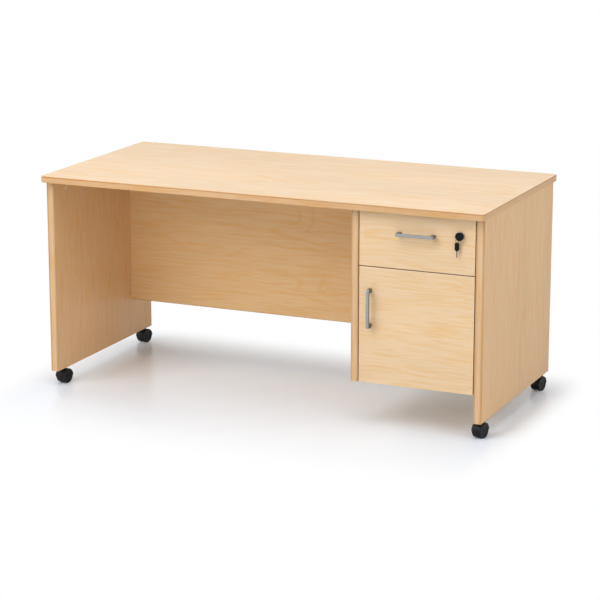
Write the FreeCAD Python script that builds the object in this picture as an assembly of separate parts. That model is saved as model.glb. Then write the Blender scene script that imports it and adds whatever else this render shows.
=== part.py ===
import FreeCAD, Part
import math
import os

Vector = FreeCAD.Vector

# A pedestal desk on castors, in millimetres.
# The origin is on the floor under the middle of the worktop.
# X runs to the right seen from the front, Y to the back, Z up.

# Whole desk
desk_width = 1600.0
desk_depth = 750.0
desk_height = 750.0
side_overhang = 7.0
front_overhang = 30.0
rear_overhang = 20.0
underside_height = 55.0

# Boards and their edge strips
top_thickness = 22.0
top_corner_radius = 12.0
end_panel_thickness = 28.0
pedestal_panel_thickness = 25.0
board_thickness = 18.0
back_thickness = 8.0
edging_thickness = 2.0
edging_round = 1.2
overrun = 5.0

# Modesty panel
modesty_setback = 575.0
modesty_underside = 193.0

# Pedestal
pedestal_opening = 402.5
pedestal_underside = 150.0
front_side_gap = 3.0
front_top_gap = 3.0
front_middle_gap = 3.0
drawer_front_height = 182.5
front_round = 1.5
board_setback = 6.5

# Shelf and its pins
shelf_side_gap = 1.0
shelf_front_setback = 45.0
shelf_back_gap = 2.0
pin_radius = 2.5
pin_depth = 8.0
pin_reach = 7.0
pin_hole_depth = 10.0
pin_pitch = 32.0
pin_front_inset = 95.0
pin_back_inset = 60.0
pin_hole_steps = (-2, -1, 0, 1, 2)

# Cam fittings and their bolts
cam_radius = 7.5
cam_past_axis = 4.5
cam_fit = 0.1
cam_reach = 34.0
cam_slot_radius = 3.5
cam_cross_width = 1.6
cam_cross_length = 9.0
cam_cross_depth = 2.5
cam_cap_radius = 8.7
cam_cap_thickness = 0.9
cam_cap_round = 0.4
bolt_shank_radius = 3.0
bolt_bore_radius = 4.0
bolt_screw_radius = 2.5
bolt_screw_depth = 11.0
end_panel_fitting_shares = (0.12, 0.5, 0.92)
pedestal_fitting_shares = (0.15, 0.7)
modesty_top_fitting_shares = (0.1, 0.5, 0.9)
modesty_side_fitting_shares = (0.2, 0.8)
pedestal_back_fitting_share = 0.3
board_fitting_shares = (0.12, 0.85)

# Wood screws with countersunk heads
screw_head_radius = 3.2
screw_head_depth = 1.8
screw_shank_radius = 1.6
screw_tip_length = 3.0
short_screw = 10.0
plate_screw = 14.0
long_screw = 32.0

# Drawer box
drawer_wall = 12.0
drawer_back_gap = 39.0
drawer_box_height = 120.0
drawer_box_lift = 12.0
drawer_bottom_thickness = 4.0
drawer_bottom_height = 10.0
drawer_groove_depth = 6.0
drawer_screw_shares = (0.15, 0.85)

# Ball runners
runner_width = 12.7
runner_height = 45.0
runner_back_gap = 27.0
runner_stay = 110.0
runner_steel = 1.2
runner_front_gap = 3.0
runner_lift = 40.0
runner_flange = 9.6
inner_runner_height = 34.0
inner_runner_flange = 9.2
cage_length = 96.0
cage_steel = 0.8
cage_wall_gap = 0.8
cage_flange = 7.4
ball_radius = 1.85
ball_pitch = 12.0
ball_offset = 6.6
ball_seat_fit = 0.05
runner_screw_shares = (0.12, 0.45)

# Bow handles
handle_length = 130.0
handle_leg_width = 13.0
handle_projection = 28.0
handle_bow = 1.6
handle_bar_depth = 7.0
handle_height = 10.0
handle_outer_round = 2.5
handle_inner_round = 2.0
handle_ease = 0.8
handle_screw_radius = 2.0
handle_screw_bore = 2.25
handle_screw_depth = 12.0
handle_head_radius = 4.0
handle_head_height = 2.2
drawer_handle_drop = 66.0
door_handle_inset = 40.0
door_handle_drop = 135.5

# Lock
lock_inset = 51.0
lock_drop = 57.0
rose_radius = 14.5
rose_height = 2.0
rose_round = 0.9
lock_body_radius = 9.5
lock_body_length = 28.0
lock_nut_radius = 13.0
lock_nut_height = 5.0
plug_radius = 6.0
plug_fit = 0.05
plug_recess = 0.5
plug_stand_out = 0.2
plug_tenon = 5.0
plug_tenon_length = 3.2
keyway_width = 2.0
keyway_height = 7.0
keyway_depth = 20.0
cam_arm_length = 27.0
cam_arm_width = 10.0
cam_arm_thickness = 2.5
cam_disc_radius = 7.0
cam_tip_round = 3.0
cam_arm_gap = 0.1
strike_width = 24.0
strike_steel = 2.0
strike_drop = 42.0
strike_foot = 26.0
strike_gap = 1.2
strike_screw_share = 0.58
strike_screw_spacing = 13.0

# Keys and their ring
key_head_radius = 13.5
key_head_thickness = 5.0
key_head_round = 1.2
key_head_stand_out = 6.0
key_neck_radius = 5.0
key_blade_thickness = 1.8
key_blade_height = 6.6
key_blade_length = 19.0
key_eye_offset = 9.9
key_eye_radius = 1.9
key_eye_angle = 225.0
ring_radius = 7.5
ring_wire_radius = 0.7
ring_yaw = 20.0
fob_length = 29.0
fob_width = 14.5
fob_thickness = 4.0
fob_corner = 4.4
fob_round = 0.9
fob_eye_radius = 1.8
fob_eye_drop = 3.4
blade_length = 21.0
blade_width = 4.0
blade_thickness = 1.8
blade_tip = 1.6

# Cup hinges of the door
hinge_end_inset = 88.0
hinge_edge_distance = 12.5
cup_edge_distance = 22.5
cup_radius = 17.5
cup_depth = 13.5
cup_wall = 0.8
cup_flange_radius = 19.5
cup_flange_thickness = 1.0
cup_wing_width = 12.0
cup_wing_length = 62.0
cup_wing_offset = 7.0
cup_wing_round = 4.0
cup_screw_spacing = 48.0
hinge_pin_radius = 1.2
knuckle_radius = 2.6
knuckle_fit = 0.05
knuckle_gap = 0.4
arm_thickness = 2.0
arm_height = 12.0
arm_hook_gap = 0.6
arm_start_angle = 172.0
arm_end_angle = 90.0
arm_bend_radius = 4.0
arm_leg_length = 46.0
plate_thickness = 5.0
plate_height = 44.0
plate_round = 4.0
plate_tail = 5.0
plate_screw_spacing = 32.0

# Door buffers
buffer_radius = 4.0
buffer_gap = 0.3
buffer_inset = 16.0
buffer_round = 1.0

# Castors
castor_inset = 50.0
castor_trail = 11.0
castor_rest_angle = -12.0
wheel_radius = 24.8
wheel_width = 11.5
wheel_tread_round = 2.0
wheel_inner_round = 1.0
wheel_side_gap = 0.5
wheel_dish_radius = 16.0
wheel_dish_depth = 1.4
wheel_boss_radius = 6.0
axle_radius = 3.0
axle_fit = 0.05
axle_end_gap = 0.4
axle_half_length = 14.5
web_half_width = 5.5
hood_gap = 0.5
hood_thickness = 1.4
hood_half_width = 17.8
hood_start_angle = -2.0
hood_end_angle = 182.0
hood_round = 0.5
hood_web_drop = 19.0
boss_radius = 10.5
boss_top_gap = 0.5
stem_radius = 4.0
stem_fit = 0.08
stem_seat = 10.0
stem_bottom_gap = 0.3
stem_length = 30.0
socket_radius = 5.5
socket_flange_radius = 9.5
socket_flange_height = 1.0
socket_length = 35.0

# Places that follow from the sizes above
half_width = desk_width / 2
front_edge = -desk_depth / 2
top_underside = desk_height - top_thickness
panel_front = front_edge + front_overhang
panel_back = desk_depth / 2 - rear_overhang
panel_outer = half_width - side_overhang
panel_inner = panel_outer - end_panel_thickness
modesty_front = front_edge + modesty_setback
modesty_back = modesty_front + board_thickness
pedestal_inner = panel_inner - pedestal_opening
pedestal_outer = pedestal_inner - pedestal_panel_thickness
pedestal_back_front = modesty_front - back_thickness
fronts_back = panel_front + board_thickness
boards_front = fronts_back + board_setback
fronts_left = pedestal_inner + front_side_gap
fronts_right = panel_inner - front_side_gap
drawer_front_top = top_underside - front_top_gap
drawer_front_bottom = drawer_front_top - drawer_front_height
door_top = drawer_front_bottom - front_middle_gap
divider_middle = drawer_front_bottom - front_middle_gap / 2
divider_top = divider_middle + board_thickness / 2
divider_bottom = divider_middle - board_thickness / 2
bottom_top = pedestal_underside + board_thickness
shelf_underside = (bottom_top + divider_bottom - board_thickness) / 2

box_left = pedestal_inner + runner_width
box_right = panel_inner - runner_width
box_low = divider_top + drawer_box_lift
box_high = box_low + drawer_box_height
box_back = pedestal_back_front - drawer_back_gap
runner_front = fronts_back + runner_front_gap
runner_length = box_back - runner_back_gap - runner_front
drawer_travel = runner_length - runner_stay
runner_middle = box_low + runner_lift

handle_centres = handle_length - handle_leg_width
lock_x = fronts_right - lock_inset
lock_z = drawer_front_top - lock_drop
lock_body_end = panel_front + lock_body_length
cam_front = lock_body_end + plug_stand_out + cam_arm_gap
key_back = panel_front - rose_height - key_head_stand_out
key_front = key_back - key_head_thickness
key_middle = (key_back + key_front) / 2
eye_x = lock_x + key_eye_offset * math.cos(math.radians(key_eye_angle))
eye_z = lock_z + key_eye_offset * math.sin(math.radians(key_eye_angle))
ring_bottom = eye_z - 2 * ring_radius

hinge_x = fronts_right - hinge_edge_distance
hinge_y = fronts_back - cup_depth + cup_wall + knuckle_gap + knuckle_radius
hinge_levels = (pedestal_underside + hinge_end_inset, door_top - hinge_end_inset)
cup_x = fronts_right - cup_edge_distance

nodes = {}
drills = {}


def box(x, y, z):
    """A box between a low and a high value along each axis."""
    corner = Vector(x[0], y[0], z[0])
    return Part.makeBox(x[1] - x[0], y[1] - y[0], z[1] - z[0], corner)


def rod(start, way, length, radius):
    """A cylinder from a start point along a direction."""
    return Part.makeCylinder(radius, length, Vector(*start), Vector(*way))


def shifted(point, way, distance):
    """A point moved along a direction."""
    return tuple(p + w * distance for p, w in zip(point, way))


def aimed(shape, point, way):
    """A shape made along +Z, turned along a direction and moved to a point."""
    turn = FreeCAD.Rotation(Vector(0, 0, 1), Vector(*way))
    place = FreeCAD.Placement(Vector(*point), turn)
    return shape.transformGeometry(place.toMatrix())


def turned(profile):
    """The solid that a profile of (radius, height) points makes about Z."""
    points = [Vector(r, 0, h) for r, h in profile]
    face = Part.Face(Part.makePolygon(points + points[:1]))
    return face.revolve(Vector(0, 0, 0), Vector(0, 0, 1), 360)


def ring_sector(centre, inner, outer, start, end, low, high):
    """Part of a flat ring about Z, from a start angle to an end angle."""
    base = Vector(centre[0], centre[1], low)
    whole = Part.makeCylinder(outer, high - low, base, Vector(0, 0, 1), end - start)
    sector = whole.cut(Part.makeCylinder(inner, high - low, base))
    return sector.rotate(base, Vector(0, 0, 1), start)


def fused(shapes):
    """One solid from shapes that touch or overlap."""
    return shapes[0].fuse(shapes[1:]).removeSplitter()


def along(edge, axis):
    """Whether a straight edge runs along an axis, 0 to 2."""
    if not isinstance(edge.Curve, Part.Line):
        return False
    return abs(tuple(edge.tangentAt(edge.FirstParameter))[axis]) > 0.999


def add(name, *solids):
    """Adds solids to a node."""
    nodes.setdefault(name, []).extend(solids)


def drill(name, *tools):
    """Notes holes to cut from every solid of a node."""
    drills.setdefault(name, []).extend(tools)


def share_of(span, shares):
    """Places at given shares of a span."""
    return [span[0] + share * (span[1] - span[0]) for share in shares]


def wood_screw(name, point, way, length, through):
    """A countersunk screw whose head lies flush at a point, and its holes."""
    profile = [
        (0, 0),
        (screw_head_radius, 0),
        (screw_shank_radius, screw_head_depth),
        (screw_shank_radius, length - screw_tip_length),
        (0, length),
    ]
    screw = aimed(turned(profile), point, way)
    add(name, screw)
    for node in through:
        drill(node, screw)


def cam_joint(mating, board, point, into, face_way, thickness):
    """A capped cam in one board that draws it against a bolt screwed into another."""
    half = thickness / 2
    centre = shifted(point, into, cam_reach)
    mouth = shifted(centre, face_way, half)
    inward = tuple(-w for w in face_way)
    depth = half + cam_past_axis
    across = tuple(Vector(*into).cross(Vector(*face_way)))
    cam = rod(mouth, inward, depth, cam_radius)
    slot = rod(shifted(centre, into, -cam_radius), into, cam_radius, cam_slot_radius)
    crosses = []
    for way in (into, across):
        low = shifted(shifted(mouth, way, -cam_cross_length / 2), face_way, -cam_cross_depth)
        side = into if way == across else across
        low = shifted(low, side, -cam_cross_width / 2)
        edges = [Vector(*way) * cam_cross_length, Vector(*side) * cam_cross_width]
        corners = [
            Vector(*low),
            Vector(*low) + edges[0],
            Vector(*low) + edges[0] + edges[1],
            Vector(*low) + edges[1],
        ]
        face = Part.Face(Part.makePolygon(corners + corners[:1]))
        crosses.append(face.extrude(Vector(*face_way) * (cam_cross_depth + overrun)))
    add("cam_fittings", cam.cut([slot] + crosses))
    cap = rod(mouth, face_way, cam_cap_thickness, cam_cap_radius)
    rim = Vector(*shifted(mouth, face_way, cam_cap_thickness))
    rims = [e for e in cap.Edges if e.CenterOfMass.distanceToPoint(rim) < cam_cap_round]
    add("cam_caps", cap.makeFillet(cam_cap_round, rims))
    shank = rod(point, into, cam_reach, bolt_shank_radius)
    screw_start = shifted(point, into, -bolt_screw_depth)
    screw = rod(screw_start, into, bolt_screw_depth, bolt_screw_radius)
    add("cam_bolts", fused([shank, screw]))
    drill(mating, screw)
    drill(board, rod(mouth, inward, depth + cam_fit, cam_radius + cam_fit))
    drill(board, rod(point, into, cam_reach, bolt_bore_radius))


def rounded_slab(x, y, z, radius):
    """A slab with rounded upright corners."""
    slab = box(x, y, z)
    return slab.makeFillet(radius, [e for e in slab.Edges if along(e, 2)])


def make_worktop():
    """The worktop's board and the strip round its edge."""
    x = (-half_width, half_width)
    y = (front_edge, -front_edge)
    z = (top_underside, desk_height)
    whole = rounded_slab(x, y, z, top_corner_radius)
    inner_x = (x[0] + edging_thickness, x[1] - edging_thickness)
    inner_y = (y[0] + edging_thickness, y[1] - edging_thickness)
    board = rounded_slab(inner_x, inner_y, z, top_corner_radius - edging_thickness)
    rims = [e for f in whole.Faces for e in f.Edges if abs(f.normalAt(0, 0).z) > 0.999]
    add("worktop", board)
    add("worktop_edging", whole.makeFillet(edging_round, rims).cut(board))


def edge_strip(x, y, z, outward, run):
    """An edge strip whose two outer arrises along its run are rounded."""
    strip = box(x, y, z)
    span = (x, y, z)[outward[0]]
    outer = span[1] if outward[1] > 0 else span[0]
    picked = [
        e
        for e in strip.Edges
        if along(e, run) and abs(tuple(e.CenterOfMass)[outward[0]] - outer) < edging_round
    ]
    add("panel_edgings", strip.makeFillet(edging_round, picked))


def edged_panel(name, x, front, back, low, back_strip):
    """An upright panel with strips on its front, foot and, if asked, its back."""
    strip = edging_thickness
    core_back = back - strip if back_strip else back
    add(name, box(x, (front + strip, core_back), (low + strip, top_underside)))
    edge_strip(x, (front, front + strip), (low, top_underside), (1, -1), 2)
    if back_strip:
        edge_strip(x, (core_back, back), (low, top_underside), (1, 1), 2)
    edge_strip(x, (front + strip, core_back), (low, low + strip), (2, -1), 1)


def make_panels():
    """The end panels, the pedestal's inner side and the modesty panel."""
    left = (-panel_outer, -panel_inner)
    right = (panel_inner, panel_outer)
    inner = (pedestal_outer, pedestal_inner)
    edged_panel("left_end_panel", left, panel_front, panel_back, underside_height, True)
    edged_panel("right_end_panel", right, panel_front, panel_back, underside_height, True)
    edged_panel("pedestal_side", inner, panel_front, modesty_front, pedestal_underside, False)
    across = (-panel_inner, panel_inner)
    depth = (modesty_front, modesty_back)
    foot = modesty_underside + edging_thickness
    add("modesty_panel", box(across, depth, (foot, top_underside)))
    edge_strip(across, depth, (modesty_underside, foot), (2, -1), 0)


def make_pedestal_boards():
    """The pedestal's back, bottom, divider and shelf."""
    across = (pedestal_inner, panel_inner)
    depth = (boards_front, pedestal_back_front)
    back = (pedestal_back_front, modesty_front)
    add("pedestal_back", box(across, back, (pedestal_underside, top_underside)))
    add("pedestal_bottom", box(across, depth, (pedestal_underside, bottom_top)))
    add("divider_board", box(across, depth, (divider_bottom, divider_top)))
    shelf_x = (across[0] + shelf_side_gap, across[1] - shelf_side_gap)
    shelf_y = (panel_front + shelf_front_setback, pedestal_back_front - shelf_back_gap)
    shelf_top = shelf_underside + board_thickness
    add("shelf", box(shelf_x, shelf_y, (shelf_underside, shelf_top)))


def make_shelf_pins():
    """Four pins under the shelf and the rows of holes they stand in."""
    level = shelf_underside - pin_radius
    rows = (panel_front + pin_front_inset, pedestal_back_front - pin_back_inset)
    for y in rows:
        for x, way, node in (
            (pedestal_inner, 1, "pedestal_side"),
            (panel_inner, -1, "right_end_panel"),
        ):
            start = (x - way * pin_depth, y, level)
            add("shelf_pins", rod(start, (way, 0, 0), pin_depth + pin_reach, pin_radius))
            for step in pin_hole_steps:
                mouth = (x - way * pin_hole_depth, y, level + step * pin_pitch)
                drill(node, rod(mouth, (way, 0, 0), pin_hole_depth, pin_radius))


def make_cam_fittings():
    """The fittings that hold the worktop, panels and boards together."""
    down = (0, 0, -1)
    panel_span = (panel_front, panel_back)
    for side, name in ((-1, "left_end_panel"), (1, "right_end_panel")):
        middle = side * (panel_inner + panel_outer) / 2
        for y in share_of(panel_span, end_panel_fitting_shares):
            point = (middle, y, top_underside)
            cam_joint("worktop", name, point, down, (-side, 0, 0), end_panel_thickness)
    pedestal_span = (panel_front, modesty_front)
    pedestal_middle = (pedestal_inner + pedestal_outer) / 2
    for y in share_of(pedestal_span, pedestal_fitting_shares):
        point = (pedestal_middle, y, top_underside)
        cam_joint("worktop", "pedestal_side", point, down, (1, 0, 0), pedestal_panel_thickness)
    modesty_middle = (modesty_front + modesty_back) / 2
    for x in share_of((-panel_inner, panel_inner), modesty_top_fitting_shares):
        point = (x, modesty_middle, top_underside)
        cam_joint("worktop", "modesty_panel", point, down, (0, 1, 0), board_thickness)
    for z in share_of((modesty_underside, top_underside), modesty_side_fitting_shares):
        for side, name in ((-1, "left_end_panel"), (1, "right_end_panel")):
            point = (side * panel_inner, modesty_middle, z)
            cam_joint(name, "modesty_panel", point, (-side, 0, 0), (0, 1, 0), board_thickness)
    for low, high in ((bottom_top, divider_bottom), (divider_top, top_underside)):
        z = low + (high - low) * pedestal_back_fitting_share
        point = (pedestal_middle, modesty_front, z)
        thickness = pedestal_panel_thickness
        cam_joint("modesty_panel", "pedestal_side", point, (0, -1, 0), (1, 0, 0), thickness)
    for name, low in (("pedestal_bottom", pedestal_underside), ("divider_board", divider_bottom)):
        level = low + board_thickness / 2
        for y in share_of((boards_front, pedestal_back_front), board_fitting_shares):
            left = (pedestal_inner, y, level)
            right = (panel_inner, y, level)
            cam_joint("pedestal_side", name, left, (1, 0, 0), down, board_thickness)
            cam_joint("right_end_panel", name, right, (-1, 0, 0), down, board_thickness)


def front_board(z):
    """A drawer front or door with eased edges."""
    board = box((fronts_left, fronts_right), (panel_front, fronts_back), z)
    return board.makeFillet(front_round, board.Edges)


def make_drawer_box():
    """The drawer's front, sides, back and bottom."""
    depth = (fronts_back, box_back)
    height = (box_low, box_high)
    left = (box_left, box_left + drawer_wall)
    right = (box_right - drawer_wall, box_right)
    inside = (left[1], right[0])
    back = (box_back - drawer_wall, box_back)
    panel_low = box_low + drawer_bottom_height
    panel = box(
        (inside[0] - drawer_groove_depth, inside[1] + drawer_groove_depth),
        (fronts_back - drawer_groove_depth, back[0] + drawer_groove_depth),
        (panel_low, panel_low + drawer_bottom_thickness),
    )
    add("drawer_front", front_board((drawer_front_bottom, drawer_front_top)))
    add("drawer_side_left", box(left, depth, height))
    add("drawer_side_right", box(right, depth, height))
    add("drawer_back", box(inside, back, height))
    add("drawer_bottom", panel)
    for name in ("drawer_front", "drawer_side_left", "drawer_side_right", "drawer_back"):
        drill(name, panel)
    middle = box_back - drawer_wall / 2
    for z in share_of(height, drawer_screw_shares):
        for x, way, side in (
            (box_left, 1, "drawer_side_left"),
            (box_right, -1, "drawer_side_right"),
        ):
            through = (side, "drawer_back")
            wood_screw("drawer_screws", (x, middle, z), (way, 0, 0), long_screw, through)


def channel(face, way, height, flange, front, back):
    """A steel channel whose web lies on a face and whose flanges point one way."""
    half = height / 2
    low = runner_middle - half
    high = runner_middle + half
    web = sorted((face, face + way * runner_steel))
    reach = sorted((face, face + way * flange))
    depth = (front, back)
    return fused(
        [
            box(web, depth, (low, high)),
            box(reach, depth, (low, low + runner_steel)),
            box(reach, depth, (high - runner_steel, high)),
        ]
    )


def ball_cage(face, way, front):
    """The bent strip that keeps two rows of balls apart, with its balls."""
    half_space = (runner_height / 2 - runner_steel + inner_runner_height / 2) / 2
    level = half_space
    web_start = face + way * (runner_steel + cage_wall_gap)
    web = sorted((web_start, web_start + way * cage_steel))
    reach = sorted((web_start, web_start + way * cage_flange))
    depth = (front, front + cage_length)
    high = level + cage_steel / 2
    low = level - cage_steel / 2
    strip = fused(
        [
            box(web, depth, (runner_middle - high, runner_middle + high)),
            box(reach, depth, (runner_middle + low, runner_middle + high)),
            box(reach, depth, (runner_middle - high, runner_middle - low)),
        ]
    )
    balls = []
    seats = []
    count = int(cage_length / ball_pitch)
    first = front + (cage_length - (count - 1) * ball_pitch) / 2
    for row in (-1, 1):
        for index in range(count):
            place = Vector(
                face + way * ball_offset,
                first + index * ball_pitch,
                runner_middle + row * level,
            )
            balls.append(Part.makeSphere(ball_radius, place))
            seats.append(Part.makeSphere(ball_radius + ball_seat_fit, place))
    return [strip.cut(seats)] + balls


def make_runners():
    """The ball runners: outer channels, inner channels and ball cages."""
    back = runner_front + runner_length
    cage_front = runner_front + drawer_travel / 2 + (runner_stay - cage_length) / 2
    sides = (
        ("left", pedestal_inner, 1, "pedestal_side", "drawer_side_left", box_left),
        ("right", panel_inner, -1, "right_end_panel", "drawer_side_right", box_right),
    )
    for name, face, way, panel, box_side, box_face in sides:
        outer = "runner_outer_" + name
        inner = "runner_inner_" + name
        add(outer, channel(face, way, runner_height, runner_flange, runner_front, back))
        inner_channel = (inner_runner_height, inner_runner_flange, runner_front, back)
        add(inner, channel(box_face, -way, *inner_channel))
        add("ball_cage_" + name, *ball_cage(face, way, cage_front))
        for y in share_of((runner_front, back), runner_screw_shares):
            outer_head = (face + way * runner_steel, y, runner_middle)
            inner_head = (box_face - way * runner_steel, y, runner_middle)
            wood_screw("carcass_screws", outer_head, (-way, 0, 0), plate_screw, (outer, panel))
            wood_screw("drawer_screws", inner_head, (way, 0, 0), short_screw, (inner, box_side))


def bow_handle():
    """A bow handle along X that stands out along -Y from the plane y = 0."""
    outer = handle_length / 2
    inner = outer - handle_leg_width
    end = handle_projection - handle_bow
    corner = 1 - math.sqrt(0.5)

    def rim(half, reach, radius, bow):
        """The points and mid points of one side of the bow."""
        cut = radius * corner
        return (
            Vector(-half, 0, 0),
            Vector(-half, -(reach - radius), 0),
            Vector(-half + cut, -(reach - cut), 0),
            Vector(-half + radius, -reach, 0),
            Vector(0, -(reach + bow), 0),
            Vector(half - radius, -reach, 0),
            Vector(half - cut, -(reach - cut), 0),
            Vector(half, -(reach - radius), 0),
            Vector(half, 0, 0),
        )

    def rim_edges(points):
        """Straight legs, rounded corners and a slightly bowed bar."""
        a, b, c, d, e, f, g, h, i = points
        curves = (
            Part.LineSegment(a, b),
            Part.Arc(b, c, d),
            Part.Arc(d, e, f),
            Part.Arc(f, g, h),
            Part.LineSegment(h, i),
        )
        return [curve.toShape() for curve in curves]

    outside = rim(outer, end, handle_outer_round, handle_bow)
    inside = rim(inner, end - handle_bar_depth, handle_inner_round, handle_bow)
    feet = [
        Part.LineSegment(outside[0], inside[0]).toShape(),
        Part.LineSegment(outside[-1], inside[-1]).toShape(),
    ]
    edges = Part.sortEdges(rim_edges(outside) + rim_edges(inside) + feet)[0]
    face = Part.Face(Part.Wire(edges))
    solid = face.extrude(Vector(0, 0, handle_height))
    solid.translate(Vector(0, 0, -handle_height / 2))
    half = handle_height / 2
    rims = [
        e
        for e in solid.Edges
        if abs(abs(e.CenterOfMass.z) - half) < handle_ease and e.CenterOfMass.y < -handle_ease
    ]
    return solid.makeFillet(handle_ease, rims)


def make_handle(name, screws, front, centre, upright):
    """A bow handle on a front, with its two screws from behind."""
    handle = bow_handle()
    way = (0, 0, 1) if upright else (1, 0, 0)
    if upright:
        handle.rotate(Vector(0, 0, 0), Vector(0, 1, 0), 90)
    place = (centre[0], panel_front, centre[1])
    handle.translate(Vector(*place))
    add(name, handle)
    for side in (-1, 1):
        foot = shifted(place, way, side * handle_centres / 2)
        back = (foot[0], fronts_back, foot[2])
        shank_length = board_thickness + handle_screw_depth
        shank = rod(back, (0, -1, 0), shank_length, handle_screw_radius)
        head = rod(back, (0, 1, 0), handle_head_height, handle_head_radius)
        add(screws, fused([shank, head]))
        drill(name, shank)
        drill(front, rod(back, (0, -1, 0), board_thickness, handle_screw_bore))


def make_lock():
    """The drawer lock: housing, nut, plug, cam and the strike it turns behind."""
    face = (lock_x, panel_front, lock_z)
    inward = (0, 1, 0)
    rose = rod(shifted(face, inward, -rose_height), inward, rose_height, rose_radius)
    rims = [e for e in rose.Edges if e.CenterOfMass.y < panel_front - rose_height / 2]
    rose = rose.makeFillet(rose_round, [e for e in rims if e.Length > rose_radius])
    body = rod(face, inward, lock_body_length, lock_body_radius)
    bore_start = shifted(face, inward, -rose_height - overrun)
    bore_length = rose_height + lock_body_length + 2 * overrun
    bore = rod(bore_start, inward, bore_length, plug_radius + plug_fit)
    add("lock_housing", fused([rose, body]).cut(bore))
    drill("drawer_front", body)
    nut_start = (lock_x, fronts_back, lock_z)
    nut = rod(nut_start, inward, lock_nut_height, lock_nut_radius)
    add("lock_nut", nut.cut(body))

    plug_start = (lock_x, panel_front - rose_height + plug_recess, lock_z)
    plug_end = lock_body_end + plug_stand_out
    plug = rod(plug_start, inward, plug_end - plug_start[1], plug_radius)
    half_tenon = plug_tenon / 2
    across = (lock_x - half_tenon, lock_x + half_tenon)
    upright = (lock_z - half_tenon, lock_z + half_tenon)
    tenon = box(across, (plug_end, plug_end + plug_tenon_length), upright)
    keyway = box(
        (lock_x - keyway_width / 2, lock_x + keyway_width / 2),
        (plug_start[1], plug_start[1] + keyway_depth),
        (lock_z - keyway_height / 2, lock_z + keyway_height / 2),
    )
    add("lock_plug", fused([plug, tenon]).cut(keyway))

    cam_y = (cam_front, cam_front + cam_arm_thickness)
    half_arm = cam_arm_width / 2
    disc = rod((lock_x, cam_y[0], lock_z), inward, cam_arm_thickness, cam_disc_radius)
    arm_x = (lock_x, lock_x + cam_arm_length)
    arm = box(arm_x, cam_y, (lock_z - half_arm, lock_z + half_arm))
    tip = [e for e in arm.Edges if along(e, 1) and e.CenterOfMass.x > lock_x + half_arm]
    arm = arm.makeFillet(cam_tip_round, tip)
    add("lock_cam", fused([disc, arm]).cut(tenon))

    leg_y = (cam_front - strike_gap - strike_steel, cam_front - strike_gap)
    strike_x = (lock_x - strike_width / 2, lock_x + strike_width / 2)
    leg = box(strike_x, leg_y, (top_underside - strike_drop, top_underside))
    foot_y = (leg_y[0], leg_y[0] + strike_foot)
    foot = box(strike_x, foot_y, (top_underside - strike_steel, top_underside))
    add("lock_strike", fused([leg, foot]))
    screw_y = foot_y[0] + strike_foot * strike_screw_share
    for side in (-1, 1):
        head = (lock_x + side * strike_screw_spacing / 2, screw_y, top_underside - strike_steel)
        wood_screw("carcass_screws", head, (0, 0, 1), plate_screw, ("lock_strike", "worktop"))


def make_lock_key():
    """The key in the lock: a round head with an eye, a neck and a blade."""
    inward = (0, 1, 0)
    head = rod((lock_x, key_front, lock_z), inward, key_head_thickness, key_head_radius)
    head = head.makeFillet(key_head_round, [e for e in head.Edges if e.Length > key_head_radius * 4])
    neck_end = panel_front - rose_height
    neck = rod((lock_x, key_back, lock_z), inward, neck_end - key_back, key_neck_radius)
    eye_start = (eye_x, key_front - overrun, eye_z)
    eye = rod(eye_start, inward, key_head_thickness + 2 * overrun, key_eye_radius)
    blade_start = neck_end
    blade = box(
        (lock_x - key_blade_thickness / 2, lock_x + key_blade_thickness / 2),
        (blade_start, blade_start + key_blade_length),
        (lock_z - key_blade_height / 2, lock_z + key_blade_height / 2),
    )
    add("lock_key", fused([head, neck]).cut(eye), blade)


def make_key_ring():
    """The wire ring through the key's eye, turned a little from square."""
    centre = Vector(eye_x, key_middle, eye_z - ring_radius)
    yaw = math.radians(ring_yaw)
    axis = Vector(math.cos(yaw), -math.sin(yaw), 0)
    add("key_ring", Part.makeTorus(ring_radius, ring_wire_radius, centre, axis))


def make_spare_key():
    """The spare key that hangs from the ring: a black head and a steel blade."""
    top = ring_bottom + fob_eye_drop
    bottom = top - fob_length
    half = fob_width / 2
    outline = [
        Vector(eye_x - half + fob_corner, 0, top),
        Vector(eye_x + half - fob_corner, 0, top),
        Vector(eye_x + half, 0, top - fob_corner),
        Vector(eye_x + half, 0, bottom + fob_corner),
        Vector(eye_x + blade_width / 2, 0, bottom),
        Vector(eye_x - blade_width / 2, 0, bottom),
        Vector(eye_x - half, 0, bottom + fob_corner),
        Vector(eye_x - half, 0, top - fob_corner),
    ]
    face = Part.Face(Part.makePolygon(outline + outline[:1]))
    face.translate(Vector(0, key_middle - fob_thickness / 2, 0))
    fob = face.extrude(Vector(0, fob_thickness, 0))
    fob = fob.makeFillet(fob_round, fob.Edges)
    eye_start = (eye_x, key_middle - fob_thickness / 2 - overrun, ring_bottom)
    eye = rod(eye_start, (0, 1, 0), fob_thickness + 2 * overrun, fob_eye_radius)
    add("spare_key_head", fob.cut(eye))
    blade = box(
        (eye_x - blade_width / 2, eye_x + blade_width / 2),
        (key_middle - blade_thickness / 2, key_middle + blade_thickness / 2),
        (bottom - blade_length, bottom),
    )
    tip = [e for e in blade.Edges if along(e, 1) and e.CenterOfMass.z < bottom - blade_tip]
    add("spare_key_blade", blade.makeChamfer(blade_tip, tip))


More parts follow.
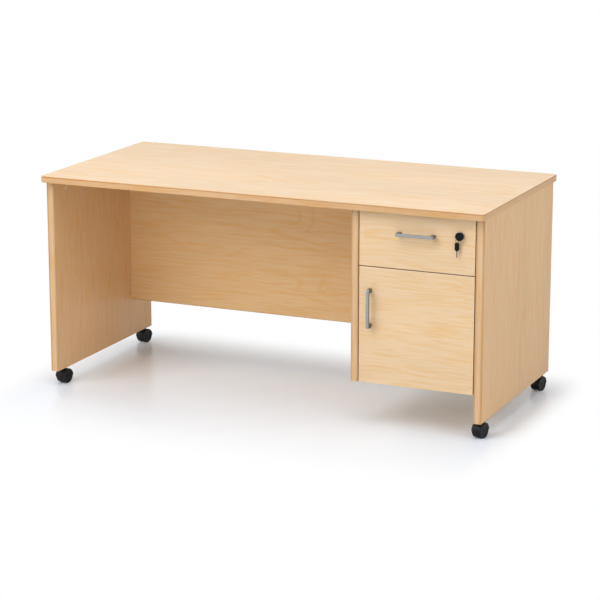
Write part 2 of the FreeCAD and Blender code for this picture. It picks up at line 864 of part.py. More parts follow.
def hinge_arm(level):
    """The hooked arm that carries the door's hinge pin, round the door's edge."""
    low = level - arm_height / 2
    high = level + arm_height / 2
    half = arm_thickness / 2
    edge = hinge_edge_distance - front_round
    deep = fronts_back - hinge_y - front_round
    corner_reach = math.hypot(edge, deep) + front_round
    middle = corner_reach + arm_hook_gap + half
    centre = (hinge_x, hinge_y)
    knuckle = rod((hinge_x, hinge_y, low), (0, 0, 1), arm_height, knuckle_radius)
    spoke = box((hinge_x, hinge_x + middle), (hinge_y - half, hinge_y + half), (low, high))
    spoke.rotate(Vector(hinge_x, hinge_y, 0), Vector(0, 0, 1), arm_start_angle)
    hook = ring_sector(
        centre, middle - half, middle + half, arm_end_angle, arm_start_angle, low, high
    )
    run_y = hinge_y + middle
    leg_x = panel_inner - plate_thickness - half
    bend_x = leg_x - arm_bend_radius
    bend_y = run_y + arm_bend_radius
    run = box((hinge_x, bend_x), (run_y - half, run_y + half), (low, high))
    bend = ring_sector(
        (bend_x, bend_y), arm_bend_radius - half, arm_bend_radius + half, 270, 360, low, high
    )
    leg = box((leg_x - half, leg_x + half), (bend_y, bend_y + arm_leg_length), (low, high))
    bore = rod((hinge_x, hinge_y, low), (0, 0, 1), arm_height, hinge_pin_radius + knuckle_fit)
    plate_y = (run_y + half, bend_y + arm_leg_length + plate_tail)
    return fused([knuckle, spoke, hook, run, bend, leg]).cut(bore), plate_y


def hinge_cup(level):
    """The cup let into the door, with its flange and two wings."""
    face = (cup_x, fronts_back, level)
    outward = (0, 1, 0)
    deep = shifted(face, outward, -cup_depth)
    body = rod(deep, outward, cup_depth, cup_radius)
    flange = rod(face, outward, cup_flange_thickness, cup_flange_radius)
    wing_x = (cup_x - cup_wing_offset - cup_wing_width / 2, cup_x - cup_wing_offset + cup_wing_width / 2)
    wing_y = (fronts_back, fronts_back + cup_flange_thickness)
    wing = box(wing_x, wing_y, (level - cup_wing_length / 2, level + cup_wing_length / 2))
    ends = [e for e in wing.Edges if along(e, 1)]
    wing = wing.makeFillet(cup_wing_round, ends)
    inside = rod(
        shifted(deep, outward, cup_wall), outward, cup_depth + overrun, cup_radius - cup_wall
    )
    return fused([body, flange, wing]).cut(inside), body


def make_hinges():
    """Two single-pin cup hinges between the door and the right end panel."""
    pin_offset = hinge_x - cup_x + hinge_pin_radius
    half_pin = math.sqrt(cup_radius**2 - pin_offset**2)
    for level in hinge_levels:
        arm, plate_y = hinge_arm(level)
        cup, recess = hinge_cup(level)
        pin = rod((hinge_x, hinge_y, level - half_pin), (0, 0, 1), 2 * half_pin, hinge_pin_radius)
        add("hinge_arms", arm)
        add("hinge_cups", cup.cut(pin))
        add("hinge_pins", pin)
        drill("door", recess)
        plate_x = (panel_inner - plate_thickness, panel_inner)
        plate_z = (level - plate_height / 2, level + plate_height / 2)
        plate = box(plate_x, plate_y, plate_z)
        corners = [e for e in plate.Edges if along(e, 0)]
        add("hinge_plates", plate.makeFillet(plate_round, corners))
        plate_middle = (plate_y[0] + plate_y[1]) / 2
        for side in (-1, 1):
            head = (plate_x[0], plate_middle, level + side * plate_screw_spacing / 2)
            plate_parts = ("hinge_plates", "right_end_panel")
            wood_screw("carcass_screws", head, (1, 0, 0), plate_screw, plate_parts)
            wing_head = (
                cup_x - cup_wing_offset,
                fronts_back + cup_flange_thickness,
                level + side * cup_screw_spacing / 2,
            )
            wood_screw("door_screws", wing_head, (0, -1, 0), short_screw, ("hinge_cups", "door"))


def make_door_buffers():
    """Two round buffers on the boards that the closed door rests against."""
    length = board_setback - buffer_gap
    x = fronts_left + buffer_inset
    for level in (divider_bottom - buffer_radius + board_thickness / 2, bottom_top - board_thickness / 2):
        button = rod((x, boards_front - length, level), (0, 1, 0), length, buffer_radius)
        rims = [e for e in button.Edges if e.CenterOfMass.y < boards_front - length / 2]
        rims = [e for e in rims if e.Length > buffer_radius * 4]
        add("door_buffers", button.makeFillet(buffer_round, rims))


def side_on(shape, y, z):
    """Turns a shape made about Z so that its axis lies along X, at a given y and z."""
    shape.rotate(Vector(0, 0, 0), Vector(1, 1, 1), 120)
    shape.translate(Vector(0, y, z))
    return shape


def castor_hood():
    """The hood over a pair of wheels that trail along +Y, and its axle."""
    inner = wheel_radius + hood_gap
    outer = inner + hood_thickness
    top = underside_height - socket_flange_height - boss_top_gap
    cover = ring_sector(
        (0, 0), inner, outer, hood_start_angle, hood_end_angle, -hood_half_width, hood_half_width
    )
    rims = [e for e in cover.Edges if e.Length > outer * 2]
    cover = cover.makeFillet(hood_round, rims)
    cover = side_on(cover, castor_trail, wheel_radius)
    half = web_half_width
    web = Part.makeCylinder(inner + hood_thickness / 2, 2 * half, Vector(0, 0, -half))
    web = side_on(web, castor_trail, wheel_radius)
    reach = outer + castor_trail
    above = box((-half, half), (-reach, reach), (wheel_radius - hood_web_drop, underside_height))
    web = web.common(above)
    boss = rod((0, 0, wheel_radius), (0, 0, 1), top - wheel_radius, boss_radius)
    boss = boss.makeFillet(hood_round, [e for e in boss.Edges if e.CenterOfMass.z > top - hood_round])
    spaces = []
    for side in (0, 1):
        low = half if side else -hood_half_width - overrun
        space = Part.makeCylinder(inner, hood_half_width + overrun - half, Vector(0, 0, low))
        spaces.append(side_on(space, castor_trail, wheel_radius))
    seat = top - stem_seat
    bore = rod((0, 0, seat), (0, 0, 1), stem_seat + overrun, stem_radius + stem_fit)
    axle_start = (-axle_half_length, castor_trail, wheel_radius)
    axle = rod(axle_start, (1, 0, 0), 2 * axle_half_length, axle_radius)
    boss = boss.cut(spaces)
    return fused([cover, web, boss]).cut([bore, axle]), axle


def whole_circles(shape, height):
    """The round edges of a shape at a height."""
    circles = [e for e in shape.Edges if isinstance(e.Curve, Part.Circle)]
    return [e for e in circles if abs(e.CenterOfMass.z - height) < wheel_inner_round / 2]


def castor_wheel(side):
    """One wheel of a pair, on the side given by its sign."""
    wheel = Part.makeCylinder(wheel_radius, wheel_width)
    wheel = wheel.makeFillet(wheel_tread_round, whole_circles(wheel, wheel_width))
    wheel = wheel.makeFillet(wheel_inner_round, whole_circles(wheel, 0))
    dish_low = Vector(0, 0, wheel_width - wheel_dish_depth)
    dish = Part.makeCylinder(wheel_dish_radius, wheel_dish_depth, dish_low)
    dish = dish.cut(Part.makeCylinder(wheel_boss_radius, wheel_dish_depth, dish_low))
    start = web_half_width + wheel_side_gap
    bore_depth = axle_half_length - start + axle_end_gap
    bore = Part.makeCylinder(axle_radius + axle_fit, bore_depth)
    wheel = wheel.cut([dish, bore])
    wheel.translate(Vector(0, 0, start))
    if side < 0:
        wheel.rotate(Vector(0, 0, 0), Vector(1, 0, 0), 180)
    return side_on(wheel, castor_trail, wheel_radius)


def make_castors():
    """Four castors under the end panels, turned a little: sockets, stems, hoods and wheels."""
    middle = (panel_inner + panel_outer) / 2
    front = panel_front + castor_inset
    back = panel_back - castor_inset
    places = (
        ("front_left", -middle, front, "left_end_panel", 1),
        ("front_right", middle, front, "right_end_panel", -1),
        ("back_left", -middle, back, "left_end_panel", 1),
        ("back_right", middle, back, "right_end_panel", -1),
    )
    flange_low = underside_height - socket_flange_height
    stem_low = flange_low - boss_top_gap - stem_seat + stem_bottom_gap
    for name, x, y, panel, trailing in places:
        sleeve = rod((x, y, underside_height), (0, 0, 1), socket_length, socket_radius)
        flange = rod((x, y, flange_low), (0, 0, 1), socket_flange_height, socket_flange_radius)
        stem_top = underside_height + stem_length
        stem = rod((x, y, stem_low), (0, 0, 1), stem_top - stem_low, stem_radius)
        add("castor_sockets", fused([sleeve, flange]).cut(stem))
        add("castor_stems", stem)
        drill(panel, sleeve)
        drill("panel_edgings", sleeve)
        hood, axle = castor_hood()
        pieces = (
            (name + "_castor_hood", hood),
            (name + "_castor_hood", axle),
            (name + "_castor_wheel_a", castor_wheel(-1)),
            (name + "_castor_wheel_b", castor_wheel(1)),
        )
        for node, piece in pieces:
            if trailing < 0:
                piece.rotate(Vector(0, 0, 0), Vector(0, 0, 1), 180)
            piece.rotate(Vector(0, 0, 0), Vector(0, 0, 1), castor_rest_angle)
            piece.translate(Vector(x, y, 0))
            add(node, piece)


def write_parts():
    """Cuts the noted holes and writes each node to its own file."""
    os.makedirs("parts", exist_ok=True)
    for name, solids in nodes.items():
        tools = drills.get(name, [])
        finished = []
        for solid in solids:
            near = [t for t in tools if t.BoundBox.intersect(solid.BoundBox)]
            cut = solid.cut(near) if near else solid
            finished.extend(cut.Solids)
        shape = finished[0] if len(finished) == 1 else Part.makeCompound(finished)
        shape.exportStep("parts/" + name + ".step")


make_worktop()
make_panels()
make_pedestal_boards()
make_shelf_pins()
make_cam_fittings()
make_drawer_box()
make_runners()
drawer_handle_centre = ((fronts_left + fronts_right) / 2, drawer_front_top - drawer_handle_drop)
door_handle_centre = (fronts_left + door_handle_inset, door_top - door_handle_drop)
make_handle("drawer_handle", "drawer_screws", "drawer_front", drawer_handle_centre, False)
make_lock()
make_lock_key()
make_key_ring()
make_spare_key()
add("door", front_board((pedestal_underside, door_top)))
make_handle("door_handle", "door_screws", "door", door_handle_centre, True)
make_hinges()
make_door_buffers()
make_castors()
write_parts()
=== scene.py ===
import math

import bpy
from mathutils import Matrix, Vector


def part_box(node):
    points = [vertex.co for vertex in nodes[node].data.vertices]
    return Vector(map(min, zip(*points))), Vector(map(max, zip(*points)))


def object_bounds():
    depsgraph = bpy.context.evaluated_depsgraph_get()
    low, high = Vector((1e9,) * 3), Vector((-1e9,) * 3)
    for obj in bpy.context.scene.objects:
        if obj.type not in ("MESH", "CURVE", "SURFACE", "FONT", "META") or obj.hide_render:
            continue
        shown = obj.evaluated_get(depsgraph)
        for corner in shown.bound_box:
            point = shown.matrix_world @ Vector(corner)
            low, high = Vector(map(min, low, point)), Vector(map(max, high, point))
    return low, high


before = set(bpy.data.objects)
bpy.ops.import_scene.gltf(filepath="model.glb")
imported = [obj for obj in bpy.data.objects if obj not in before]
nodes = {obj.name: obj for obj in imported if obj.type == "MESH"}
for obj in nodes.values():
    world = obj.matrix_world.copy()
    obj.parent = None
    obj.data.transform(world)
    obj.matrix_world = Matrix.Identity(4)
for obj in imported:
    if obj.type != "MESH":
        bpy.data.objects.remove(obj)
cad_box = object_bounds()

# Camera at the photograph's viewing angle: place in metres, angles in degrees, lens in millimetres
camera_place = (3.099, -6.971, 2.200)
camera_down = 13.91
camera_turn = 23.95
camera_lens = 136.26
sensor_width = 36.0

# Level of the surround's light, and soft lamps: name, place, size in metres, power in watts
world_level = 0.175
lamp_target = (0.0, 0.0, 0.4)
lamps = (
    ("key", (-2.6, -4.8, 4.3), 4.2, 232.0),
    ("overhead", (0.2, -1.4, 4.4), 3.4, 88.0),
    ("right", (5.0, 0.2, 3.0), 3.0, 40.0),
    ("fill", (4.2, -2.4, 2.6), 3.0, 40.0),
    ("back", (1.8, 5.4, 2.6), 3.0, 42.0),
    ("back_left", (-4.6, 2.6, 3.2), 2.6, 48.0),
)

# Floor: half its width in metres, its finish, and the width that its fade takes past the desk's
# low and high side, along X and then along Y
floor_reach = 40.0
floor_colour = (0.875, 0.93, 1.0, 1.0)
floor_roughness = 0.20
floor_gloss = 0.12
floor_fade = ((0.18, 0.14), (0.50, 0.34))
plain_white = (1.0, 1.0, 1.0, 1.0)

# Wood colours, as the finish is seen under plain light, except the upright panels' maple, darkened
# and warmed as painted shade, and the modesty panel's, brightened and warmed as painted light
maple = (0.83, 0.605, 0.38)
top_maple = (0.82, 0.635, 0.45)
end_maple_painted_shade = (0.805, 0.52, 0.28)
modesty_maple_painted_light = (0.97, 0.665, 0.35)
edge_wood = (0.73, 0.495, 0.295)
top_edge_wood = (0.70, 0.44, 0.235)
core_board = (0.60, 0.45, 0.29)
backing_paper = (0.55, 0.39, 0.22)
# Darker edge colour of the fronts' narrow sides, partly painted shade in the gaps between fronts
edge_tone_and_gap_shade = (0.50, 0.31, 0.17)

# Shares that a wood's colour is multiplied by: late growth, a painted highlight along the fronts'
# arrises, dark parts of a strip
late_growth_share = (0.96, 0.77, 0.43)
arris_highlight_share = (1.2, 1.26, 1.38, 1.0)
dark_strip_share = (0.82, 0.70, 0.56, 1.0)

# Maple figure. Each layer is a noise: cells to the metre along and across the grain, detail, and
# distortion. Stops are the places and levels of a ramp that the noise goes through.
wood_seed_steps = (1.37, 2.11, 0.73)
wave_cells = (2.0, 3.5)
wave_detail = 2.0
wave_reach = 0.045
swell_layer = (1.6, 9.0, 1.0, 0.3)
patch_layer = (3.0, 9.0, 1.0, 0.0)
fibre_layer = (9.0, 330.0, 3.0, 0.0)
thread_layer = (7.0, 190.0, 2.0, 0.5)
streak_layer = (4.5, 70.0, 2.0, 0.6)
band_layer = (3.0, 22.0, 2.0, 0.8)
broad_layer = (1.2, 4.0, 1.0, 0.0)
lines_to_a_swell = 18.0
growth_stops = ((0.0, 0.0), (0.68, 0.0), (0.93, 1.0), (1.0, 0.6))
patch_stops = ((0.40, 0.0), (0.62, 1.0))
thread_stops = ((0.40, 0.0), (0.68, 1.0))
streak_stops = ((0.48, 0.0), (0.70, 1.0))

# How strongly each layer of the figure shows, in colour and in light
thread_share = 0.42
streak_share = 0.22
growth_share = 0.34
fibre_light = 0.06
band_light = 0.07
broad_light = 0.13
top_figure = 1.35
strip_figure = 1.2
modesty_figure = 1.1
drawer_box_figure = 0.6
cap_figure = 0.4

# Finish of the wood: roughness and its spread, gloss, and the bump's strength and depth in metres
wood_roughness = 0.45
wood_roughness_spread = 0.14
wood_gloss = 0.28
wood_bump = (0.12, 0.0002)

# Ramps over how squarely a face looks to the front: a front's arrises, which get a painted
# highlight, and its sides, whose darker edge colour is partly painted shade in the gaps, and a
# handle's front, which keeps its light while its other faces get painted shade
arris_highlight_stops = ((0.35, 0.0), (0.55, 1.0), (0.96, 1.0), (0.995, 0.0))
edge_tone_and_gap_shade_stops = ((0.30, 1.0), (0.50, 0.0))
handle_lit_front_stops = ((0.60, 0.0), (0.95, 1.0))

# Ramps over a place on the edge strips, as shares of a reach in metres
panel_arris_reach = 0.02
panel_arris_stops = ((0.30, 0.0), (0.52, 1.0))
worktop_arris_reach = 0.01
worktop_arris_stops = ((0.04, 0.0), (0.10, 1.0), (0.40, 1.0), (0.55, 0.0))
end_panel_middle = sum(corner.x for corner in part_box("right_end_panel")) / 2
pedestal_panel_middle = sum(corner.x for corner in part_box("pedestal_side")) / 2
worktop_level = cad_box[1].z
underside_normal = -0.5

# Metals, and the painted shade that darkens a handle's faces other than its front
satin_tone = (0.335, 0.343, 0.355)
handle_painted_shade_share = (0.60, 0.58, 0.56, 1.0)
lock_nickel = (0.42, 0.42, 0.42)
key_steel = (0.20, 0.20, 0.20)
ring_steel = (0.07, 0.07, 0.07)
nickel_plate = (0.62, 0.62, 0.61)
zinc_plate = (0.56, 0.58, 0.61)
zinc_spangle = 0.12

# Brushed or rolled lines of the metals: cells to the metre along X, Y and Z
brushed_x = (12.0, 1100.0, 1100.0)
brushed_z = (1100.0, 1100.0, 12.0)
rolled_y = (900.0, 14.0, 900.0)
unbrushed = (400.0, 400.0, 400.0)

# Tarnish, crystals and finish that all the metals share
metal_seed_steps = (0.9, 1.9, 0.4)
brush_detail = 3.0
stain_cells = 60.0
stain_detail = 4.0
stain_light = 0.16
crystal_cells = 180.0
crystal_detail = 1.0
metal_roughness_spread = 0.16
metal_bump = (0.10, 0.0001)

# Plastics
key_black = (0.004, 0.004, 0.0045)
castor_black = (0.007, 0.007, 0.008)
buffer_clear = (0.50, 0.50, 0.46)

# Moulded grain, smears and worn arrises that all the plastics share
plastic_seed_steps = (1.1, 0.7, 1.7)
spark_cells = 1400.0
spark_detail = 2.0
smear_cells = 45.0
smear_detail = 4.0
smear_stops = ((0.35, 0.2), (0.7, 1.0))
worn_arris = 0.0012
worn_arris_stops = ((0.0, 0.0), (0.2, 1.0))
worn_gain = 2.5
worn_lift = 0.05
bevel_samples = 4
plastic_roughness_spread = 0.18
plastic_bump = (0.15, 0.0001)

# Axes that a grain runs along
along_x, along_y, along_z = range(3)

# Colour sockets of a mix node, which has a set of sockets for each kind of data
mix_share, mix_first, mix_second, mix_result = 0, 6, 7, 2


class Graph:
    """The nodes of one material, with the shader that they feed."""

    def __init__(self, name):
        self.material = bpy.data.materials.new(name)
        self.material.use_nodes = True
        self.tree = self.material.node_tree
        self.tree.nodes.clear()
        self.output = self.tree.nodes.new("ShaderNodeOutputMaterial")
        self.shader = self.tree.nodes.new("ShaderNodeBsdfPrincipled")
        self.link(self.shader.outputs["BSDF"], self.output.inputs["Surface"])
        self.metres = self.node("ShaderNodeTexCoord").outputs["Object"]
        self.coordinates = self.metres

    def link(self, source, target):
        self.tree.links.new(source, target)

    def put(self, socket, value):
        """Links a socket to an output, or sets its value."""
        if isinstance(value, bpy.types.NodeSocket):
            self.link(value, socket)
        else:
            socket.default_value = value

    def node(self, kind, inputs=(), **settings):
        """A node with its settings, and inputs given by name or number."""
        made = self.tree.nodes.new(kind)
        for key, value in settings.items():
            setattr(made, key, value)
        for key, value in dict(inputs).items():
            self.put(made.inputs[key], value)
        return made

    def math(self, operation, *values):
        made = self.node("ShaderNodeMath", operation=operation)
        for socket, value in zip(made.inputs, values):
            self.put(socket, value)
        return made.outputs[0]

    def vector(self, operation, *values):
        made = self.node("ShaderNodeVectorMath", operation=operation)
        for socket, value in zip(made.inputs, values):
            self.put(socket, value)
        return made.outputs["Vector"]

    def axis(self, vector, letter):
        """One of a vector's three parts."""
        return self.node("ShaderNodeSeparateXYZ", {"Vector": vector}).outputs[letter]

    def place(self, scale, offset):
        """The graph's coordinates, scaled along each axis and moved."""
        inputs = {"Vector": self.coordinates, "Scale": scale, "Location": offset}
        return self.node("ShaderNodeMapping", inputs).outputs["Vector"]

    def wavy(self, scale, offset, reach):
        """Makes later noises follow coordinates that a slow noise pushes about by a reach."""
        inputs = {"Vector": self.place(scale, offset), "Scale": 1.0, "Detail": wave_detail}
        push = self.node("ShaderNodeTexNoise", inputs).outputs["Color"]
        push = self.vector("MULTIPLY", self.vector("SUBTRACT", push, (0.5, 0.5, 0.5)), reach)
        self.coordinates = self.vector("ADD", self.coordinates, push)

    def noise(self, scale, offset, detail, distortion=0.0):
        """Noise from 0 to 1 whose cells have the given number to the metre along each axis."""
        inputs = {
            "Vector": self.place(scale, offset),
            "Scale": 1.0,
            "Detail": detail,
            "Distortion": distortion,
        }
        return self.node("ShaderNodeTexNoise", inputs).outputs["Fac"]

    def layer(self, grain, offset, settings):
        """One layer of the maple figure."""
        along, across, detail, distortion = settings
        return self.noise(stretched(grain, along, across), offset, detail, distortion)

    def ramp(self, value, stops):
        """Maps a value through grey stops of (place, level)."""
        made = self.node("ShaderNodeValToRGB", {"Fac": value})
        made.color_ramp.interpolation = "EASE"
        elements = made.color_ramp.elements
        while len(elements) < len(stops):
            elements.new(0.5)
        for element, (place, level) in zip(elements, stops):
            element.position = place
            element.color = (level, level, level, 1.0)
        return made.outputs["Color"]

    def mix(self, share, first, second, blend="MIX"):
        made = self.node("ShaderNodeMix", data_type="RGBA", blend_type=blend)
        self.put(made.inputs[mix_share], share)
        self.put(made.inputs[mix_first], first)
        self.put(made.inputs[mix_second], second)
        return made.outputs[mix_result]

    def multiplied(self, first, second):
        """Two colours multiplied."""
        return self.mix(1.0, first, second, "MULTIPLY")

    def around(self, value, amount, level):
        """A level that a 0 to 1 value moves up and down by half an amount."""
        centred = self.math("SUBTRACT", value, 0.5)
        return self.math("MULTIPLY_ADD", centred, amount, level)

    def shaded(self, colour, light):
        """A colour multiplied by a level of light."""
        grey = self.node("ShaderNodeCombineColor", {"Red": light, "Green": light, "Blue": light})
        return self.multiplied(colour, grey.outputs["Color"])

    def edges(self, radius):
        """0 on flat faces, rising to 1 at the arrises of the piece."""
        rounded = self.node("ShaderNodeBevel", {"Radius": radius}, samples=bevel_samples)
        flat = self.node("ShaderNodeNewGeometry").outputs["Normal"]
        dot = self.node("ShaderNodeVectorMath", operation="DOT_PRODUCT")
        self.put(dot.inputs[0], rounded.outputs["Normal"])
        self.put(dot.inputs[1], flat)
        turned = self.math("SUBTRACT", 1.0, dot.outputs["Value"])
        return self.ramp(turned, worn_arris_stops)

    def outward(self):
        """1 on the piece's own front and back, falling to 0 on its faces square to them."""
        normal = self.node("ShaderNodeTexCoord").outputs["Normal"]
        return self.math("ABSOLUTE", self.axis(normal, "Y"))

    def plain(self):
        """The colour that the shader has so far."""
        return self.shader.inputs["Base Color"].links[0].from_socket

    def colour(self, value):
        self.put(self.shader.inputs["Base Color"], value)

    def finish(self, roughness, bumps, strength, distance):
        """Gives the shader its roughness, and bumps of a strength and a depth in metres."""
        self.put(self.shader.inputs["Roughness"], roughness)
        inputs = {"Height": bumps, "Strength": strength, "Distance": distance}
        made = self.node("ShaderNodeBump", inputs)
        self.link(made.outputs["Normal"], self.shader.inputs["Normal"])

    def gloss(self, level):
        self.shader.inputs["Specular IOR Level"].default_value = level


def opaque(colour):
    return (*colour, 1.0)


def stretched(grain, along, across):
    """A scale with one value along the grain and one across it."""
    return tuple(along if axis == grain else across for axis in range(3))


def even(cells):
    """A scale with the same value along each axis."""
    return (cells, cells, cells)


def seeded(seed, steps):
    """Where a piece's own stretch of noise starts."""
    return tuple(seed * step for step in steps)


def warmed(colour):
    """The darker, more orange tone of a wood's late growth."""
    return opaque(tuple(level * share for level, share in zip(colour, late_growth_share)))


def wood(name, grain, colour, seed, figure=1.0):
    """Maple with its grain along an axis: growth lines, streaks, fibres and soft broad shading."""
    g = Graph(name)
    offset = seeded(seed, wood_seed_steps)
    g.wavy(stretched(grain, *wave_cells), offset, stretched(grain, 0.0, wave_reach))
    swell = g.math("MULTIPLY", g.layer(grain, offset, swell_layer), lines_to_a_swell)
    growth = g.ramp(g.math("PINGPONG", swell, 1.0), growth_stops)
    patches = g.ramp(g.layer(grain, offset, patch_layer), patch_stops)
    growth = g.math("MULTIPLY", growth, patches)
    fibres = g.layer(grain, offset, fibre_layer)
    threads = g.ramp(g.layer(grain, offset, thread_layer), thread_stops)
    streaks = g.ramp(g.layer(grain, offset, streak_layer), streak_stops)
    bands = g.layer(grain, offset, band_layer)
    broad = g.layer(grain, offset, broad_layer)
    body = opaque(colour)
    for shown, share in ((threads, thread_share), (streaks, streak_share), (growth, growth_share)):
        body = g.mix(g.math("MULTIPLY", shown, share * figure), body, warmed(colour))
    light = g.around(fibres, fibre_light, 1.0)
    light = g.math("ADD", light, g.around(bands, band_light * figure, 0.0))
    light = g.math("ADD", light, g.around(broad, broad_light * figure, 0.0))
    g.colour(g.shaded(body, light))
    g.gloss(wood_gloss)
    roughness = g.around(fibres, wood_roughness_spread, wood_roughness)
    g.finish(roughness, g.math("ADD", fibres, threads), *wood_bump)
    return g


def edge_strip(name, grain, colour, seed, dark):
    """Maple edge strip, darker where a 0 to 1 value that its own graph gives says so."""
    g = wood(name, grain, colour, seed, strip_figure)
    g.colour(g.mix(dark(g), g.plain(), g.multiplied(g.plain(), dark_strip_share)))
    return g


def band_fronts_with_painted_light(g):
    """Gives a front's four narrow sides a darker edge colour, partly the tape's own tone and partly
    painted shade in the gaps between fronts, and its arrises a painted highlight line.
    """
    outward = g.outward()
    # Painted highlight along the arrises, and painted shade on the narrow sides in the gaps
    arris = g.ramp(outward, arris_highlight_stops)
    lit = g.mix(arris, g.plain(), g.multiplied(g.plain(), arris_highlight_share))
    g.colour(g.mix(g.ramp(outward, edge_tone_and_gap_shade_stops), lit, opaque(edge_tone_and_gap_shade)))
    return g


def panel_arrises(g):
    """1 near both sides of the upright panels' front and back strips, 0 between."""
    across = g.axis(g.metres, "X")
    outer = g.math("ABSOLUTE", g.math("SUBTRACT", g.math("ABSOLUTE", across), end_panel_middle))
    inner = g.math("ABSOLUTE", g.math("SUBTRACT", across, pedestal_panel_middle))
    nearest = g.math("MINIMUM", outer, inner)
    return g.ramp(g.math("DIVIDE", nearest, panel_arris_reach), panel_arris_stops)


def worktop_arris(g):
    """1 along the upper arris of the worktop's strip, 0 below it and on top."""
    depth = g.math("SUBTRACT", worktop_level, g.axis(g.metres, "Z"))
    return g.ramp(g.math("DIVIDE", depth, worktop_arris_reach), worktop_arris_stops)


def metal(name, colour, roughness, brush, seed, spangle=0.0):
    """Steel or nickel with fine brushed or rolled lines, and a little tarnish in the tone."""
    g = Graph(name)
    offset = seeded(seed, metal_seed_steps)
    lines = g.noise(brush, offset, brush_detail)
    stains = g.noise(even(stain_cells), offset, stain_detail)
    crystals = g.noise(even(crystal_cells), offset, crystal_detail)
    light = g.around(stains, stain_light, 1.0)
    light = g.math("ADD", light, g.around(crystals, spangle, 0.0))
    g.colour(g.shaded(opaque(colour), light))
    g.shader.inputs["Metallic"].default_value = 1.0
    g.finish(g.around(lines, metal_roughness_spread, roughness), lines, *metal_bump)
    return g


def paint_handle_side_shade(g):
    """Keeps a handle's metal bright on its front, and darkens its other faces with painted shade.
    """
    front = g.ramp(g.outward(), handle_lit_front_stops)
    g.colour(g.mix(front, g.multiplied(g.plain(), handle_painted_shade_share), g.plain()))
    return g


def plastic(name, colour, roughness, seed, gloss=0.25, scuff=0.1):
    """Moulded plastic: fine spark-eroded grain, and paler scuffs on its arrises."""
    g = Graph(name)
    offset = seeded(seed, plastic_seed_steps)
    grain = g.noise(even(spark_cells), offset, spark_detail)
    smears = g.noise(even(smear_cells), offset, smear_detail)
    worn = g.math("MULTIPLY", g.edges(worn_arris), g.ramp(smears, smear_stops))
    pale = tuple(min(1.0, level * worn_gain + worn_lift) for level in colour)
    g.colour(g.mix(g.math("MULTIPLY", worn, scuff), opaque(colour), opaque(pale)))
    g.gloss(gloss)
    g.finish(g.around(smears, plastic_roughness_spread, roughness), grain, *plastic_bump)
    return g


def dress(graph, *names):
    """Gives a graph's material to CAD nodes."""
    for name in names:
        mesh = nodes[name].data
        mesh.materials.clear()
        mesh.materials.append(graph.material)


def make_camera():
    data = bpy.data.cameras.new("camera")
    data.sensor_width = sensor_width
    data.lens = camera_lens
    camera = bpy.data.objects.new("camera", data)
    camera.location = camera_place
    camera.rotation_euler = (math.radians(90 - camera_down), 0, math.radians(camera_turn))
    bpy.context.scene.collection.objects.link(camera)
    bpy.context.scene.camera = camera


def make_light(name, place, size, power):
    """A square soft light aimed at the desk."""
    data = bpy.data.lights.new(name, "AREA")
    data.size = size
    data.energy = power
    light = bpy.data.objects.new(name, data)
    light.location = place
    aim = Vector(lamp_target) - Vector(place)
    light.rotation_euler = aim.to_track_quat("-Z", "Y").to_euler()
    bpy.context.scene.collection.objects.link(light)


def seen_directly(tree):
    """1 for camera, glossy and transmission rays, and 0 for diffuse ones."""
    path = tree.nodes.new("ShaderNodeLightPath")
    total = tree.nodes.new("ShaderNodeMath")
    total.operation = "MAXIMUM"
    tree.links.new(path.outputs["Is Camera Ray"], total.inputs[0])
    tree.links.new(path.outputs["Is Glossy Ray"], total.inputs[1])
    both = tree.nodes.new("ShaderNodeMath")
    both.operation = "MAXIMUM"
    tree.links.new(total.outputs[0], both.inputs[0])
    tree.links.new(path.outputs["Is Transmission Ray"], both.inputs[1])
    return both.outputs[0]


def make_world():
    """A white surround that lights softly and shows as plain white."""
    world = bpy.data.worlds.new("studio")
    bpy.context.scene.world = world
    world.use_nodes = True
    tree = world.node_tree
    tree.nodes.clear()
    output = tree.nodes.new("ShaderNodeOutputWorld")
    background = tree.nodes.new("ShaderNodeBackground")
    background.inputs["Color"].default_value = plain_white
    level = tree.nodes.new("ShaderNodeMapRange")
    level.inputs["To Min"].default_value = world_level
    level.inputs["To Max"].default_value = 1.0
    tree.links.new(seen_directly(tree), level.inputs["Value"])
    tree.links.new(level.outputs["Result"], background.inputs["Strength"])
    tree.links.new(background.outputs["Background"], output.inputs["Surface"])


def past_desk(g):
    """How far a point lies past the desk's sides, in widths of the floor's fade."""
    low, high = cad_box
    sides = (("X", low.x, high.x), ("Y", low.y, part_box("modesty_panel")[1].y))
    squares = []
    for (letter, near, far), (near_width, far_width) in zip(sides, floor_fade):
        along = g.axis(g.metres, letter)
        before = g.math("DIVIDE", g.math("SUBTRACT", near, along), near_width)
        after = g.math("DIVIDE", g.math("SUBTRACT", along, far), far_width)
        past = g.math("MAXIMUM", g.math("MAXIMUM", before, after), 0.0)
        squares.append(g.math("MULTIPLY", past, past))
    return g.math("SQRT", g.math("ADD", *squares))


def floor_white():
    """White with a faint gloss, which fades to white light away from the desk."""
    g = Graph("floor_white")
    g.colour(floor_colour)
    g.shader.inputs["Roughness"].default_value = floor_roughness
    g.gloss(floor_gloss)
    fade = g.node("ShaderNodeMapRange", {"Value": past_desk(g)}, interpolation_type="SMOOTHSTEP")
    light = g.node("ShaderNodeEmission", {"Color": plain_white, "Strength": 1.0})
    joined = g.node("ShaderNodeMixShader")
    shown = g.math("MULTIPLY", fade.outputs["Result"], seen_directly(g.tree))
    g.put(joined.inputs[0], shown)
    g.put(joined.inputs[1], g.shader.outputs["BSDF"])
    g.put(joined.inputs[2], light.outputs["Emission"])
    g.link(joined.outputs[0], g.output.inputs["Surface"])
    return g


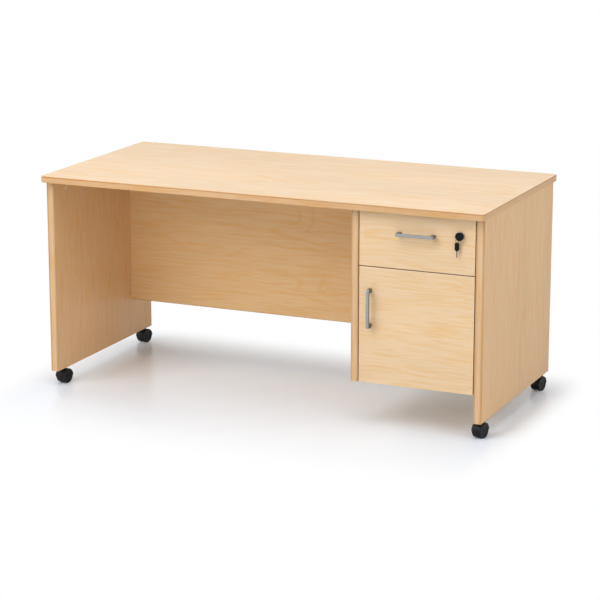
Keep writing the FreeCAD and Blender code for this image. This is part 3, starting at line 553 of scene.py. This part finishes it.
def make_floor():
    """A wide flat square that the desk stands on."""
    mesh = bpy.data.meshes.new("floor")
    signs = ((-1, -1), (1, -1), (1, 1), (-1, 1))
    corners = [(x * floor_reach, y * floor_reach, 0.0) for x, y in signs]
    mesh.from_pydata(corners, [], [(0, 1, 2, 3)])
    floor = bpy.data.objects.new("floor", mesh)
    bpy.context.scene.collection.objects.link(floor)
    mesh.materials.append(floor_white().material)


def top_wood():
    """The worktop's maple, with plain backing paper on its underside."""
    g = wood("maple_top", along_x, top_maple, 1.0, top_figure)
    normal = g.node("ShaderNodeNewGeometry").outputs["True Normal"]
    below = g.math("LESS_THAN", g.axis(normal, "Z"), underside_normal)
    g.colour(g.mix(below, g.plain(), opaque(backing_paper)))
    return g


def dress_wood():
    """Laminate on every board, with its own stretch of figure on each."""
    dress(top_wood(), "worktop")
    dress(band_fronts_with_painted_light(wood("maple_drawer_front", along_x, maple, 2.3)), "drawer_front")
    dress(band_fronts_with_painted_light(wood("maple_door", along_x, maple, 3.1)), "door")
    # The modesty panel and the upright panels take lit and shaded copies of the maple: painted
    # light and painted shade
    dress(wood("maple_modesty", along_x, modesty_maple_painted_light, 4.7, modesty_figure), "modesty_panel")
    dress(wood("maple_left", along_z, end_maple_painted_shade, 5.9), "left_end_panel")
    dress(wood("maple_right", along_z, end_maple_painted_shade, 6.4), "right_end_panel")
    dress(wood("maple_side", along_z, end_maple_painted_shade, 7.2), "pedestal_side")
    board_wood = wood("maple_board", along_x, maple, 8.8)
    dress(board_wood, "pedestal_bottom", "divider_board", "shelf")
    dress(wood("maple_caps", along_z, maple, 10.1, cap_figure), "cam_caps")
    dress(wood("maple_back", along_x, core_board, 9.5), "pedestal_back")
    top_strip = edge_strip("edge_top", along_x, top_edge_wood, 11.0, worktop_arris)
    dress(top_strip, "worktop_edging")
    dress(edge_strip("edge_panel", along_z, edge_wood, 12.0, panel_arrises), "panel_edgings")
    box_wood = wood("maple_drawer", along_y, maple, 13.0, drawer_box_figure)
    dress(box_wood, "drawer_side_left", "drawer_side_right", "drawer_back", "drawer_bottom")


def dress_metal():
    """Satin nickel on the handles, and plain plated steel on the fittings."""
    lying = metal("satin_nickel", satin_tone, 0.44, brushed_x, 1.0)
    upright = metal("satin_nickel_upright", satin_tone, 0.44, brushed_z, 2.0)
    dress(paint_handle_side_shade(lying), "drawer_handle")
    dress(paint_handle_side_shade(upright), "door_handle")
    dress(metal("lock_nickel", lock_nickel, 0.34, unbrushed, 5.0), "lock_housing", "lock_plug")
    dress(metal("key_steel", key_steel, 0.38, unbrushed, 6.0), "spare_key_blade")
    dress(metal("ring_steel", ring_steel, 0.40, unbrushed, 7.0), "key_ring")
    dress(
        metal("nickel_plate", nickel_plate, 0.26, unbrushed, 3.0),
        "lock_nut", "lock_cam", "hinge_arms", "hinge_cups", "hinge_pins", "hinge_plates",
        "cam_fittings", "cam_bolts", "carcass_screws", "drawer_screws", "door_screws",
        "shelf_pins", "castor_stems",
    )
    dress(
        metal("zinc_plate", zinc_plate, 0.30, rolled_y, 4.0, zinc_spangle),
        "runner_outer_left", "runner_outer_right", "runner_inner_left", "runner_inner_right",
        "ball_cage_left", "ball_cage_right", "lock_strike",
    )


def dress_plastic():
    """Black plastic on the keys and castors, and soft clear plastic on the buffers."""
    black = plastic("black_plastic", key_black, 0.42, 1.0, gloss=0.14)
    dress(black, "lock_key", "spare_key_head", "castor_sockets")
    nylon = plastic("castor_nylon", castor_black, 0.46, 2.0, gloss=0.2, scuff=0.06)
    for name in nodes:
        if "castor_hood" in name or "castor_wheel" in name:
            dress(nylon, name)
    dress(plastic("clear_rubber", buffer_clear, 0.55, 3.0), "door_buffers")


bpy.context.scene.view_settings.view_transform = "Standard"
make_camera()
make_world()
for lamp in lamps:
    make_light(*lamp)
make_floor()
dress_wood()
dress_metal()
dress_plastic()
